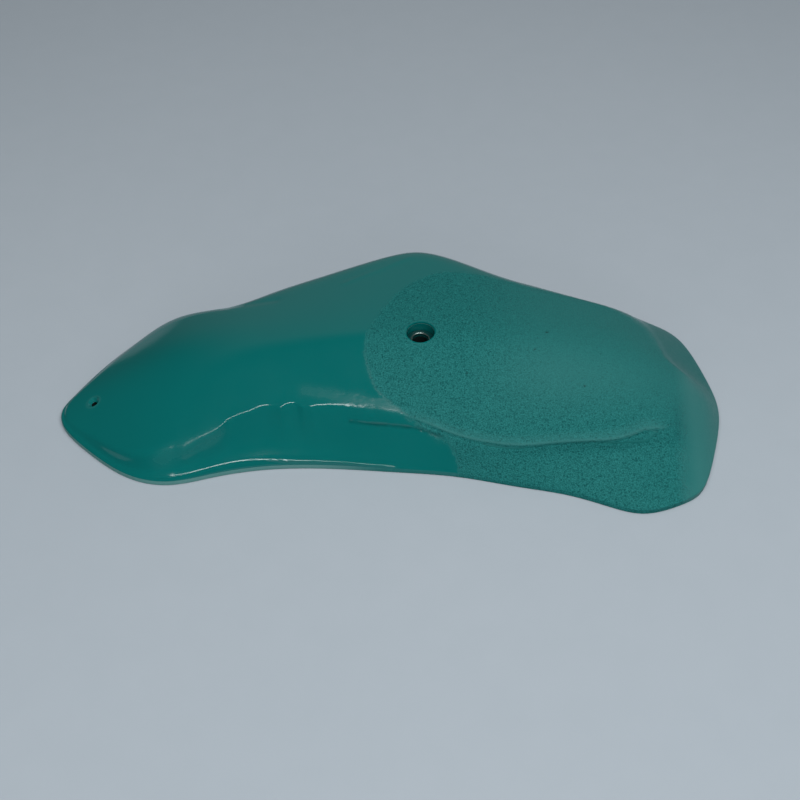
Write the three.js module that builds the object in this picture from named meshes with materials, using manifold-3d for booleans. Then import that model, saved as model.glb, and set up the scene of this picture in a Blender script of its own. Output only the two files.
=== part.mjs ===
// A large dual-finish climbing hold: a hollow-backed casting, the grip layer on its
// rough half, and the steel washer that the fixing bolt bears on.
// Millimetres, +Z away from the wall, +X along the hold towards its blunt end.

import * as THREE from 'three';
import { mergeVertices } from 'three/addons/utils/BufferGeometryUtils.js';
import Module from 'manifold-3d';

const wasm = await Module();
wasm.setup();

// Overall size
const LENGTH = 450;
const DEPTH = 230;
const HEIGHT = 60;

// Edge of the casting where it meets the wall
const LAND_HEIGHT = 3.5;
const EDGE_THICKNESS = 5;
const TOE_LEAN = 0.6;
const TOE_SLOPE = 0.33;

// Hollow back
const WALL = 9;
const RIM_WIDTH = 12;
const CELL_DEPTH_MIN = 8;
const CELL_LEAN_MIN = 4;
const INSET_STEP = 1;
const RIB_THICKNESS = 8;
const COLUMN_RADIUS = 20;

// Bolt hole and its washer
const BOLT_BORE_RADIUS = 5.5;
const COUNTERBORE_RADIUS = 9.25;
const COUNTERBORE_DEPTH = 7;
const WASHER_RADIUS = 8.95;
const WASHER_THICKNESS = 2.5;

// Hole for the small screw that stops the hold turning
const SET_SCREW_RADIUS = 2.1;
const SET_SCREW_SINK_RADIUS = 4.3;
const SET_SCREW_SINK_DEPTH = 2.2;
const SET_SCREW_TILT = THREE.MathUtils.degToRad(-18);

// Grip layer
const GRIP_THICKNESS = 1.4;

// Fits and cutting allowance
const CLEARANCE = 0.3;
const OVERRUN = 2;

// How finely the smooth surfaces and the round holes are divided
const SAMPLES_PER_STATION = 3;
const STEPS_PER_RING = 2;
const PULL_PASSES = 40;
const ROUND_SEGMENTS = 40;
const SMALL_ROUND_SEGMENTS = 20;
const BOUNDARY_DIVISIONS = 4;

// Feet of the ribs from the tip to the blunt end, as shares of length and depth:
// front x, front y, back x, back y
const ribFeetShares = [
  [-0.491, -0.183, -0.487, -0.047],
  [-0.447, -0.274, -0.453, 0.07],
  [-0.384, -0.365, -0.407, 0.191],
  [-0.318, -0.393, -0.347, 0.283],
  [-0.251, -0.361, -0.258, 0.289],
  [-0.167, -0.333, -0.184, 0.352],
  [-0.073, -0.333, -0.091, 0.423],
  [0.016, -0.346, 0.009, 0.491],
  [0.1, -0.363, 0.08, 0.496],
  [0.182, -0.398, 0.182, 0.403],
  [0.256, -0.43, 0.26, 0.349],
  [0.316, -0.474, 0.333, 0.302],
  [0.367, -0.498, 0.41, 0.28],
  [0.42, -0.466, 0.462, 0.213],
  [0.456, -0.409, 0.486, 0.097],
  [0.482, -0.283, 0.5, -0.03],
];

// Walls of the front above each rib's foot: how far the brow and the waist lie in from
// the foot, as shares of depth, and the waist's height, the brow's softness and the toe's
// rise, as shares of height
const ribFrontShares = [
  [0.022, 0.009, 0.08, 0.07, 0.02],
  [0.03, 0.013, 0.09, 0.08, 0.02],
  [0.039, 0.017, 0.1, 0.1, 0.02],
  [0.061, 0.026, 0.15, 0.13, 0.04],
  [0.078, 0.039, 0.21, 0.05, 0.07],
  [0.1, 0.048, 0.24, 0.05, 0.08],
  [0.096, 0.043, 0.24, 0.06, 0.05],
  [0.108, 0.042, 0.26, 0.14, 0.02],
  [0.068, 0.041, 0.29, 0.1, 0.02],
  [0.06, 0.05, 0.33, 0.1, 0.02],
  [0.094, 0.089, 0.36, 0.09, 0.02],
  [0.14, 0.137, 0.36, 0.09, 0.02],
  [0.165, 0.157, 0.33, 0.11, 0.02],
  [0.172, 0.142, 0.28, 0.16, 0.02],
  [0.163, 0.104, 0.24, 0.2, 0.02],
  [0.145, 0.052, 0.25, 0.2, 0.02],
];

// The same five shares for the back walls
const ribBackShares = [
  [0.022, 0.009, 0.07, 0.07, 0.02],
  [0.035, 0.017, 0.1, 0.1, 0.02],
  [0.052, 0.022, 0.13, 0.13, 0.02],
  [0.07, 0.03, 0.17, 0.17, 0.02],
  [0.087, 0.035, 0.23, 0.23, 0.02],
  [0.104, 0.039, 0.27, 0.27, 0.02],
  [0.113, 0.043, 0.3, 0.3, 0.02],
  [0.113, 0.039, 0.33, 0.3, 0.02],
  [0.113, 0.039, 0.33, 0.3, 0.02],
  [0.113, 0.039, 0.33, 0.3, 0.02],
  [0.113, 0.039, 0.33, 0.27, 0.02],
  [0.109, 0.043, 0.31, 0.2, 0.02],
  [0.135, 0.061, 0.31, 0.12, 0.02],
  [0.174, 0.086, 0.33, 0.08, 0.02],
  [0.187, 0.094, 0.31, 0.06, 0.02],
  [0.126, 0.057, 0.27, 0.1, 0.02],
];

// The stations at the two ends: foot x and y, then the five wall shares
const tipShares = [-0.501, -0.113, 0.017, 0.009, 0.08, 0.05, 0.02];
const endShares = [0.501, -0.143, 0.109, 0.039, 0.27, 0.2, 0.02];

// The line under the top that every rib runs in to
const spineStartShares = [-0.396, -0.078];
const spineEndShares = [0.384, -0.125];

// Relief of the top at even steps along the length: height of its crown, where the crown
// lies across the depth, and how fast the top falls to the front and to the back
const RELIEF_START_SHARE = -0.52;
const RELIEF_STEP_SHARE = 0.09;
const ROOF_SHARE = 0.11;
const reliefShares = [
  [0.03, -0.1, 0.8, 1.2],
  [0.3, -0.07, 1, 1.2],
  [0.57, -0.03, 1.1, 1.2],
  [0.75, -0.01, 1.4, 1],
  [0.85, 0, 1.7, 0.7],
  [0.93, 0, 2, 0.5],
  [0.98, -0.01, 2.4, 0.4],
  [1, -0.02, 2.7, 0.5],
  [0.97, -0.03, 2.3, 0.8],
  [0.9, -0.05, 1.8, 1],
  [0.75, -0.08, 1.3, 1.1],
  [0.43, -0.11, 1, 1.1],
  [0.08, -0.14, 1, 1.2],
];

// Shares of a section between its brow and the spine where the top is shaped
const topShares = [0.3, 0.5, 0.75, 1];
const WAIST_SHARE_MAX = 0.6;
const SOFT_BELOW_SHARE_MAX = 0.45;
const SOFT_ABOVE_SHARE_MAX = 0.2;
const BLEND_START_RING = 5;
const BLEND_RINGS = 2;

// Places of the holes and of the stiffening ribs inside
const BOLT_X_SHARE = 0.046;
const BOLT_Y_SHARE = -0.026;
const SET_SCREW_X_SHARE = -0.449;
const SET_SCREW_Y_SHARE = -0.122;
const innerRibShares = [-0.22, BOLT_X_SHARE, 0.27];

// Edge of the grip layer in plan, as shares of length and depth: from the foot of the
// front up its left side, along the back, down the blunt end and out over the foot again
const gripEdgeShares = [
  [0.104, -0.42],
  [0.1, -0.358],
  [0.087, -0.319],
  [0.056, -0.294],
  [0.016, -0.253],
  [-0.021, -0.19],
  [-0.038, -0.09],
  [-0.03, 0],
  [0, 0.123],
  [0.044, 0.226],
  [0.094, 0.27],
  [0.173, 0.255],
  [0.242, 0.222],
  [0.329, 0.189],
  [0.385, 0.135],
  [0.408, 0.085],
  [0.419, 0.02],
  [0.432, -0.03],
  [0.447, -0.09],
  [0.449, -0.15],
  [0.445, -0.21],
  [0.44, -0.29],
  [0.437, -0.36],
  [0.434, -0.44],
  [0.43, -0.52],
];
const GRIP_FRONT_SHARE = -0.6;

// Smooth curves through rows of values

function neighbourRows(rows, index, closed) {
  const last = rows.length - 1;
  if (closed) {
    return [rows[(index + last) % rows.length], rows[(index + 1) % rows.length]];
  }
  const mirror = (row, other) => row.map((value, column) => 2 * value - other[column]);
  const before = index > 0 ? rows[index - 1] : mirror(rows[0], rows[1]);
  const after = index < last ? rows[index + 1] : mirror(rows[last], rows[last - 1]);
  return [before, after];
}

// Rows of control values, pulled until the cubic spline passes through the given rows
function pullControls(rows, closed) {
  let controls = rows.map((row) => [...row]);
  for (let pass = 0; pass < PULL_PASSES; pass += 1) {
    controls = controls.map((row, index) => {
      const [before, after] = neighbourRows(controls, index, closed);
      return row.map((value, column) => {
        const smooth = (before[column] + 4 * value + after[column]) / 6;
        return value + rows[index][column] - smooth;
      });
    });
  }
  return controls;
}

// Value of the cubic spline at a place, where place 0 is the first row
function splineAt(controls, place, closed) {
  const last = controls.length - 1;
  const held = closed ? place : THREE.MathUtils.clamp(place, 0, last);
  const index = closed ? Math.floor(held) : Math.min(Math.floor(held), last - 1);
  const f = held - index;
  const weights = [
    (1 - f) ** 3 / 6,
    (3 * f ** 3 - 6 * f ** 2 + 4) / 6,
    (-3 * f ** 3 + 3 * f ** 2 + 3 * f + 1) / 6,
    f ** 3 / 6,
  ];
  const [before] = neighbourRows(controls, index, closed);
  const [, after] = neighbourRows(controls, (index + 1) % controls.length, closed);
  const rows = [before, controls[index], controls[(index + 1) % controls.length], after];
  return rows[0].map((_, column) => rows.reduce((sum, row, k) => sum + weights[k] * row[column], 0));
}

// Relief of the top

const reliefControls = pullControls(reliefShares, false);

function roof(share) {
  return Math.hypot(Math.max(share, 0), ROOF_SHARE) - ROOF_SHARE;
}

function topHeight(x, y) {
  const place = (x / LENGTH - RELIEF_START_SHARE) / RELIEF_STEP_SHARE;
  const [crown, crownPlace, frontFall, backFall] = splineAt(reliefControls, place, false);
  const across = y / DEPTH - crownPlace;
  const share = crown - frontFall * roof(-across) - backFall * roof(across);
  return Math.max(HEIGHT * share, EDGE_THICKNESS);
}

// Sections from the outline in to the spine

const stationRows = [
  tipShares,
  ...ribFeetShares.map(([x, y], i) => [x, y, ...ribFrontShares[i]]),
  endShares,
  ...ribFeetShares.map(([, , x, y], i) => [x, y, ...ribBackShares[i]]).reverse(),
];
const stationControls = pullControls(stationRows, true);
const AROUND = stationRows.length * SAMPLES_PER_STATION;

function sectionFrame(sample) {
  const place = (sample * stationRows.length) / AROUND;
  const [x, y, brow, waist, waistHeight, softness, toe] = splineAt(stationControls, place, true);
  const along = (1 - Math.cos((2 * Math.PI * sample) / AROUND)) / 2;
  const spineX = THREE.MathUtils.lerp(spineStartShares[0], spineEndShares[0], along) * LENGTH;
  const spineY = THREE.MathUtils.lerp(spineStartShares[1], spineEndShares[1], along) * DEPTH;
  const foot = new THREE.Vector2(x * LENGTH, y * DEPTH);
  const inward = new THREE.Vector2(spineX, spineY).sub(foot);
  const reach = inward.length();
  inward.normalize();
  const at = (inset, z) => new THREE.Vector3(foot.x + inward.x * inset, foot.y + inward.y * inset, z);
  const height = (inset) => topHeight(foot.x + inward.x * inset, foot.y + inward.y * inset);
  return {
    reach,
    at,
    height,
    browInset: brow * DEPTH,
    waistInset: waist * DEPTH,
    waistHeight: waistHeight * HEIGHT,
    softness: softness * HEIGHT,
    toeRise: toe * HEIGHT,
  };
}

// Control points of one section from the top of the land to the spine
function outerControls(frame) {
  const onTop = (inset) => frame.at(inset, frame.height(inset));
  const brow = onTop(frame.browInset);
  const waistTop = WAIST_SHARE_MAX * brow.z + TOE_LEAN;
  const waist = frame.at(frame.waistInset, Math.min(frame.waistHeight, waistTop));
  const drop = brow.distanceTo(waist);
  const softBelow = Math.min(frame.softness, SOFT_BELOW_SHARE_MAX * drop);
  const rest = frame.reach - frame.browInset;
  const softAbove = Math.min(frame.softness, SOFT_ABOVE_SHARE_MAX * rest);
  return [
    frame.at(0, LAND_HEIGHT),
    frame.at(TOE_LEAN + TOE_SLOPE * frame.toeRise, LAND_HEIGHT + frame.toeRise),
    waist,
    brow.clone().lerp(waist, softBelow / drop),
    brow,
    onTop(frame.browInset + softAbove),
    ...topShares.map((share) => onTop(frame.browInset + rest * share)),
  ];
}

// Points of one section of the outside, from under the spine out and over to the spine
function outerSection(sample) {
  const frame = sectionFrame(sample);
  const controls = outerControls(frame).map((point) => point.toArray());
  const steps = (controls.length - 1) * STEPS_PER_RING;
  const points = [frame.at(frame.reach, 0), frame.at(0, 0)];
  for (let step = 0; step <= steps; step += 1) {
    const place = step / STEPS_PER_RING;
    const point = new THREE.Vector3(...splineAt(controls, place, false));
    const blend = THREE.MathUtils.smoothstep(place, BLEND_START_RING, BLEND_START_RING + BLEND_RINGS);
    point.z = THREE.MathUtils.lerp(point.z, topHeight(point.x, point.y), blend);
    points.push(point);
  }
  return points;
}

// Points of one section of the hollow, which starts where the top is high enough for it
function hollowSection(sample) {
  const frame = sectionFrame(sample);
  const roofOver = (inset) => frame.height(inset) - WALL;
  const spare = (inset) => roofOver(inset) - CELL_DEPTH_MIN;
  const rim = Math.max(RIM_WIDTH, frame.waistInset + WALL / 2);
  let start = rim;
  while (spare(start) < 0 && start < frame.reach) {
    start += INSET_STEP;
  }
  if (start > rim) {
    start -= (INSET_STEP * spare(start)) / (spare(start) - spare(start - INSET_STEP));
  }
  const shoulder = Math.max(start + CELL_LEAN_MIN, Math.max(frame.waistInset, frame.browInset) + WALL);
  const top = Math.min(shoulder, frame.reach);
  const rest = frame.reach - top;
  return [
    frame.at(frame.reach, -OVERRUN),
    frame.at(start, -OVERRUN),
    frame.at(start, 0),
    frame.at(top, roofOver(top)),
    ...topShares.map((share) => frame.at(top + rest * share, roofOver(top + rest * share))),
  ];
}

// Closed meshes from sections. The first and last point of each section lie on the
// spine, so a section and its opposite one share them.
function closedLoft(makeSection) {
  const sections = Array.from({ length: AROUND }, (_, sample) => makeSection(sample));
  const rings = sections[0].length;
  const folded = (ring) => ring === 0 || ring === rings - 1;
  const ringStarts = [];
  const positions = [];
  for (let ring = 0; ring < rings; ring += 1) {
    ringStarts.push(positions.length / 3);
    const count = folded(ring) ? AROUND / 2 + 1 : AROUND;
    for (let sample = 0; sample < count; sample += 1) {
      positions.push(...sections[sample][ring].toArray());
    }
  }
  const vertex = (ring, sample) => {
    const turn = sample % AROUND;
    return ringStarts[ring] + (folded(ring) ? Math.min(turn, AROUND - turn) : turn);
  };
  const triangles = [];
  for (let ring = 0; ring < rings - 1; ring += 1) {
    for (let sample = 0; sample < AROUND; sample += 1) {
      const a = vertex(ring, sample);
      const b = vertex(ring, sample + 1);
      const c = vertex(ring + 1, sample + 1);
      const d = vertex(ring + 1, sample);
      if (a !== b) {
        triangles.push(a, b, c);
      }
      if (c !== d) {
        triangles.push(a, c, d);
      }
    }
  }
  const geometry = new THREE.BufferGeometry();
  geometry.setAttribute('position', new THREE.Float32BufferAttribute(positions, 3));
  geometry.setIndex(triangles);
  return geometry;
}

// A copy of a closed mesh, moved inwards everywhere by the same distance
function insetGeometry(geometry, distance) {
  const copy = geometry.clone();
  copy.computeVertexNormals();
  const position = copy.getAttribute('position');
  const normal = copy.getAttribute('normal');
  for (let i = 0; i < position.count; i += 1) {
    const point = new THREE.Vector3().fromBufferAttribute(position, i);
    point.addScaledVector(new THREE.Vector3().fromBufferAttribute(normal, i), -distance);
    position.setXYZ(i, point.x, point.y, point.z);
  }
  copy.deleteAttribute('normal');
  return copy;
}

// Solids for cuts and joins

function toSolid(geometry) {
  const bare = geometry.clone();
  bare.deleteAttribute('normal');
  bare.deleteAttribute('uv');
  const merged = mergeVertices(bare);
  return new wasm.Manifold(new wasm.Mesh({
    numProp: 3,
    vertProperties: new Float32Array(merged.getAttribute('position').array),
    triVerts: new Uint32Array(merged.getIndex().array),
  }));
}

function toGeometry(solid) {
  const mesh = solid.getMesh();
  const geometry = new THREE.BufferGeometry();
  geometry.setAttribute('position', new THREE.BufferAttribute(mesh.vertProperties, 3));
  geometry.setIndex(new THREE.BufferAttribute(mesh.triVerts, 1));
  geometry.computeVertexNormals();
  return geometry;
}

function uprightCylinder(radius, x, y, bottom, top) {
  const geometry = new THREE.CylinderGeometry(radius, radius, top - bottom, ROUND_SEGMENTS);
  geometry.rotateX(Math.PI / 2);
  geometry.translate(x, y, (bottom + top) / 2);
  return toSolid(geometry);
}

// The hold's outside

const outerGeometry = closedLoft(outerSection);
const outer = toSolid(outerGeometry);

// Bolt hole, on a vertical axis through the crown

const boltX = BOLT_X_SHARE * LENGTH;
const boltY = BOLT_Y_SHARE * DEPTH;
const seatHeight = topHeight(boltX, boltY) - COUNTERBORE_DEPTH;
const aboveTop = HEIGHT + OVERRUN;
const pocketBottom = seatHeight - WASHER_THICKNESS - CLEARANCE;

const boltBore = uprightCylinder(BOLT_BORE_RADIUS, boltX, boltY, -OVERRUN, aboveTop);
const counterbore = uprightCylinder(COUNTERBORE_RADIUS, boltX, boltY, pocketBottom, aboveTop);

// Countersunk hole for the set screw, square to the tip's sloping top

function setScrewHole() {
  const x = SET_SCREW_X_SHARE * LENGTH;
  const y = SET_SCREW_Y_SHARE * DEPTH;
  const z = topHeight(x, y);
  const reach = z / Math.cos(SET_SCREW_TILT) + OVERRUN + SET_SCREW_RADIUS;
  const slope = (SET_SCREW_SINK_RADIUS - SET_SCREW_RADIUS) / SET_SCREW_SINK_DEPTH;
  const profile = [
    new THREE.Vector2(0, -reach),
    new THREE.Vector2(SET_SCREW_RADIUS, -reach),
    new THREE.Vector2(SET_SCREW_RADIUS, -SET_SCREW_SINK_DEPTH),
    new THREE.Vector2(SET_SCREW_SINK_RADIUS + slope * OVERRUN, OVERRUN),
    new THREE.Vector2(0, OVERRUN),
  ];
  const geometry = new THREE.LatheGeometry(profile, SMALL_ROUND_SEGMENTS);
  geometry.rotateX(Math.PI / 2);
  geometry.rotateY(SET_SCREW_TILT);
  geometry.translate(x, y, z);
  return toSolid(geometry);
}

// The hollow, parted by ribs and by the column round the bolt

function hollowCells() {
  const hollow = toSolid(closedLoft(hollowSection));
  const parts = innerRibShares.map((share) => {
    const geometry = new THREE.BoxGeometry(RIB_THICKNESS, DEPTH + OVERRUN, HEIGHT + 2 * OVERRUN);
    geometry.translate(share * LENGTH, 0, HEIGHT / 2);
    return toSolid(geometry);
  });
  parts.push(uprightCylinder(COLUMN_RADIUS, boltX, boltY, -2 * OVERRUN, aboveTop));
  return parts.reduce((left, part) => left.subtract(part), hollow);
}

// The grip layer's part of the plan, taller than the hold, grown by an allowance

function gripZone(allowance) {
  const edge = gripEdgeShares.map(([x, y]) => new THREE.Vector2(x * LENGTH, y * DEPTH));
  const points = new THREE.SplineCurve(edge).getPoints(edge.length * BOUNDARY_DIVISIONS);
  const grown = points.map((point, i) => {
    const before = points[Math.max(i - 1, 0)];
    const after = points[Math.min(i + 1, points.length - 1)];
    const along = after.clone().sub(before).normalize();
    return new THREE.Vector2(point.x - along.y * allowance, point.y + along.x * allowance);
  });
  const front = GRIP_FRONT_SHARE * DEPTH;
  const corners = [new THREE.Vector2(grown.at(-1).x, front), new THREE.Vector2(grown[0].x, front)];
  const bottom = LAND_HEIGHT - allowance;
  const geometry = new THREE.ExtrudeGeometry(new THREE.Shape([...grown, ...corners]), {
    depth: aboveTop - bottom,
    bevelEnabled: false,
  });
  geometry.translate(0, 0, bottom);
  return toSolid(geometry);
}

function insetSolid(distance) {
  return toSolid(insetGeometry(outerGeometry, distance));
}

// Sub-parts

function bodyCasting() {
  const recess = gripZone(CLEARANCE).subtract(insetSolid(GRIP_THICKNESS + CLEARANCE));
  return outer
    .subtract(recess)
    .subtract(hollowCells())
    .subtract(boltBore)
    .subtract(counterbore)
    .subtract(setScrewHole());
}

function gripLayer() {
  return outer.intersect(gripZone(0)).subtract(insetSolid(GRIP_THICKNESS)).subtract(counterbore);
}

function boltWasher() {
  const bottom = seatHeight - WASHER_THICKNESS;
  const profile = [
    new THREE.Vector2(BOLT_BORE_RADIUS, bottom),
    new THREE.Vector2(WASHER_RADIUS, bottom),
    new THREE.Vector2(WASHER_RADIUS, seatHeight),
    new THREE.Vector2(BOLT_BORE_RADIUS, seatHeight),
    new THREE.Vector2(BOLT_BORE_RADIUS, bottom),
  ];
  const geometry = new THREE.LatheGeometry(profile, ROUND_SEGMENTS);
  geometry.rotateX(Math.PI / 2);
  geometry.translate(boltX, boltY, 0);
  return toSolid(geometry);
}

// Materials

const smoothGreen = new THREE.MeshStandardMaterial({ color: 0x04625f, roughness: 0.15, metalness: 0 });
const grittyGreen = new THREE.MeshStandardMaterial({ color: 0x266566, roughness: 0.85, metalness: 0 });
const zincSteel = new THREE.MeshStandardMaterial({ color: 0x9a9c9b, roughness: 0.4, metalness: 1 });

// The hold, set with the middle of its back at the origin

const hold = new THREE.Group();

function addPart(name, solid, material) {
  const mesh = new THREE.Mesh(toGeometry(solid), material);
  mesh.name = name;
  hold.add(mesh);
}

addPart('body_casting', bodyCasting(), smoothGreen);
addPart('grip_layer', gripLayer(), grittyGreen);
addPart('bolt_washer', boltWasher(), zincSteel);

const extent = new THREE.Box3().setFromObject(hold);
const middle = extent.getCenter(new THREE.Vector3());
hold.position.set(-middle.x, -middle.y, -extent.min.z);

export default hold;
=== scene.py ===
"""A large dual-finish climbing hold on a pale studio floor.

Lengths are in millimetres until a mesh is made. Shares are of the hold's length, depth or height.
"""

import math

import bpy
import numpy as np
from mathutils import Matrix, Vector
from mathutils.kdtree import KDTree


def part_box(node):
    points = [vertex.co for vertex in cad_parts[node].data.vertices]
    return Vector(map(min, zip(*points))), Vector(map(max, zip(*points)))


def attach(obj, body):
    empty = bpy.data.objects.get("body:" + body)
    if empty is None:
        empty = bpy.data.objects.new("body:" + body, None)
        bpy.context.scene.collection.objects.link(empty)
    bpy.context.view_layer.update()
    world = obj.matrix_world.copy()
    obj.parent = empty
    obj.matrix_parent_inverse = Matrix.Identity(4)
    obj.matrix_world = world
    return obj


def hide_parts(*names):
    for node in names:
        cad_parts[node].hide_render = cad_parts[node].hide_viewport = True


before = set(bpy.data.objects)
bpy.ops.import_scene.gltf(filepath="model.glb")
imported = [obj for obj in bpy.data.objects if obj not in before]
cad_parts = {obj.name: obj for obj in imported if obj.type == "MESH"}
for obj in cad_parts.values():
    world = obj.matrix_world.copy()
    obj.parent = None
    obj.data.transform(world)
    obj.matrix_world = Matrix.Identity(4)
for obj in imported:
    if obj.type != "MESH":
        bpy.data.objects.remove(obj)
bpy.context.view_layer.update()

MM = 0.001

# Sizes that the solids share
LENGTH, DEPTH, HEIGHT = 450, 230, 60
LAND_HEIGHT = 3.5
EDGE_THICKNESS = 5
TOE_LEAN, TOE_SLOPE = 0.6, 0.33
WALL = 9
RIM_WIDTH = 12
CELL_DEPTH_MIN, CELL_LEAN_MIN = 8, 4
RIB_THICKNESS = 8
COLUMN_RADIUS = 20
BOLT_BORE_RADIUS = 5.5
COUNTERBORE_RADIUS = 9.25
WASHER_RADIUS, WASHER_THICKNESS = 8.95, 2.5
SET_SCREW_RADIUS = 2.1
SET_SCREW_SINK_RADIUS, SET_SCREW_SINK_DEPTH = 4.3, 2.2
SET_SCREW_TILT = math.radians(-18)
GRIP_THICKNESS = 1.4
CLEARANCE = 0.3

# Feet of the ribs from the tip to the blunt end: front x, front y, back x, back y
RIB_FEET_SHARES = [
    (-0.491, -0.183, -0.487, -0.047),
    (-0.447, -0.274, -0.453, 0.070),
    (-0.384, -0.365, -0.407, 0.191),
    (-0.318, -0.393, -0.347, 0.283),
    (-0.251, -0.361, -0.258, 0.289),
    (-0.167, -0.333, -0.184, 0.352),
    (-0.073, -0.333, -0.091, 0.423),
    (0.016, -0.346, 0.009, 0.491),
    (0.100, -0.363, 0.080, 0.496),
    (0.182, -0.398, 0.182, 0.403),
    (0.256, -0.430, 0.260, 0.349),
    (0.316, -0.474, 0.333, 0.302),
    (0.367, -0.498, 0.410, 0.280),
    (0.420, -0.466, 0.462, 0.213),
    (0.456, -0.409, 0.486, 0.097),
    (0.482, -0.283, 0.500, -0.030),
]
# Walls above each front foot: brow inset, waist inset, waist height, softness, toe rise
RIB_FRONT_SHARES = [
    (0.022, 0.009, 0.08, 0.07, 0.02),
    (0.030, 0.013, 0.09, 0.08, 0.02),
    (0.039, 0.017, 0.10, 0.10, 0.02),
    (0.061, 0.026, 0.15, 0.13, 0.04),
    (0.078, 0.039, 0.21, 0.05, 0.07),
    (0.100, 0.048, 0.24, 0.05, 0.08),
    (0.096, 0.043, 0.24, 0.06, 0.05),
    (0.108, 0.042, 0.26, 0.14, 0.02),
    (0.068, 0.041, 0.29, 0.10, 0.02),
    (0.060, 0.050, 0.33, 0.10, 0.02),
    (0.094, 0.089, 0.36, 0.09, 0.02),
    (0.140, 0.137, 0.36, 0.09, 0.02),
    (0.165, 0.157, 0.33, 0.11, 0.02),
    (0.172, 0.142, 0.28, 0.16, 0.02),
    (0.163, 0.104, 0.24, 0.20, 0.02),
    (0.145, 0.052, 0.25, 0.20, 0.02),
]
RIB_BACK_SHARES = [
    (0.022, 0.009, 0.07, 0.07, 0.02),
    (0.035, 0.017, 0.10, 0.10, 0.02),
    (0.052, 0.022, 0.13, 0.13, 0.02),
    (0.070, 0.030, 0.17, 0.17, 0.02),
    (0.087, 0.035, 0.23, 0.23, 0.02),
    (0.104, 0.039, 0.27, 0.27, 0.02),
    (0.113, 0.043, 0.30, 0.30, 0.02),
    (0.113, 0.039, 0.33, 0.30, 0.02),
    (0.113, 0.039, 0.33, 0.30, 0.02),
    (0.113, 0.039, 0.33, 0.30, 0.02),
    (0.113, 0.039, 0.33, 0.27, 0.02),
    (0.109, 0.043, 0.31, 0.20, 0.02),
    (0.135, 0.061, 0.31, 0.12, 0.02),
    (0.174, 0.086, 0.33, 0.08, 0.02),
    (0.187, 0.094, 0.31, 0.06, 0.02),
    (0.126, 0.057, 0.27, 0.10, 0.02),
]
TIP_SHARES = (-0.501, -0.113, 0.017, 0.009, 0.08, 0.05, 0.02)
END_SHARES = (0.501, -0.143, 0.109, 0.039, 0.27, 0.20, 0.02)
SPINE_START_SHARES = np.array((-0.396, -0.078))
SPINE_END_SHARES = np.array((0.384, -0.125))

# Relief of the top: crown height, ridge place, fall to the front and to the back
RELIEF_START_SHARE, RELIEF_STEP_SHARE, ROOF_SHARE = -0.52, 0.09, 0.11
RELIEF_SHARES = [
    (0.03, -0.10, 0.8, 1.2),
    (0.30, -0.07, 1.0, 1.2),
    (0.57, -0.03, 1.1, 1.2),
    (0.75, -0.01, 1.4, 1.0),
    (0.85, 0.00, 1.7, 0.7),
    (0.93, 0.00, 2.0, 0.5),
    (0.98, -0.01, 2.4, 0.4),
    (1.00, -0.02, 2.7, 0.5),
    (0.97, -0.03, 2.3, 0.8),
    (0.90, -0.05, 1.8, 1.0),
    (0.75, -0.08, 1.3, 1.1),
    (0.43, -0.11, 1.0, 1.1),
    (0.08, -0.14, 1.0, 1.2),
]
TOP_SHARES = (0.3, 0.5, 0.75, 1)
BLEND_START, BLEND_RINGS = 5, 2

# Places of the holes and of the stiffening ribs inside
BOLT_SHARES = (0.046, -0.026)
SET_SCREW_SHARES = (-0.449, -0.122)
INNER_RIB_SHARES = (-0.22, BOLT_SHARES[0], 0.27)
SET_SCREW_X, SET_SCREW_Y = SET_SCREW_SHARES[0] * LENGTH, SET_SCREW_SHARES[1] * DEPTH

# Edge of the grip zone in plan, from the foot of the front round to the foot again
GRIP_EDGE_SHARES = [
    (0.104, -0.42), (0.1, -0.358), (0.087, -0.319), (0.056, -0.294), (0.016, -0.253),
    (-0.021, -0.19), (-0.038, -0.09), (-0.03, 0), (0, 0.123), (0.044, 0.226),
    (0.094, 0.27), (0.173, 0.255), (0.242, 0.222), (0.329, 0.189), (0.385, 0.135),
    (0.408, 0.085), (0.419, 0.02), (0.432, -0.03), (0.447, -0.09), (0.449, -0.15),
    (0.445, -0.21), (0.44, -0.29), (0.437, -0.36), (0.434, -0.44), (0.43, -0.52),
]
GRIP_FRONT_SHARE = -0.6


# Smooth curves through rows of values


def neighbours(rows, closed):
    before, after = np.roll(rows, 1, 0), np.roll(rows, -1, 0)
    if not closed:
        before[0] = 2 * rows[0] - rows[1]
        after[-1] = 2 * rows[-1] - rows[-2]
    return before, after


def pull_controls(rows, closed, passes=40):
    """Rows of control values, pulled until the cubic spline passes through the given rows."""
    rows = np.array(rows, float)
    controls = rows.copy()
    for _ in range(passes):
        before, after = neighbours(controls, closed)
        controls = controls + rows - (before + 4 * controls + after) / 6
    return controls


def spline(controls, places, closed):
    """Cubic spline of the control rows at the places, where place 0 is the first row."""
    count = len(controls)
    places = np.asarray(places, float)
    if not closed:
        places = np.clip(places, 0, count - 1)
        first, last = 2 * controls[0] - controls[1], 2 * controls[-1] - controls[-2]
        controls = np.concatenate([[first], controls, [last], [2 * last - controls[-1]]])
    i = np.floor(places).astype(int)
    f = (places - i).reshape(places.shape + (1,) * (controls.ndim - 1))
    weights = (
        (1 - f) ** 3 / 6,
        (3 * f**3 - 6 * f**2 + 4) / 6,
        (-3 * f**3 + 3 * f**2 + 3 * f + 1) / 6,
        f**3 / 6,
    )
    total = 0
    for k, weight in enumerate(weights):
        rows = (i + k - 1) % count if closed else i + k
        total = total + weight * controls[rows]
    return total


def smoothstep(low, high, value):
    s = np.clip((value - low) / (high - low), 0, 1)
    return s * s * (3 - 2 * s)


def within(span, value):
    """1 between the middle two of a span's four values, fading to 0 at its ends."""
    start, low, high, end = span
    return smoothstep(start, low, value) * smoothstep(end, high, value)


# Relief of the top

RELIEF_CONTROLS = pull_controls(RELIEF_SHARES, False)


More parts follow.
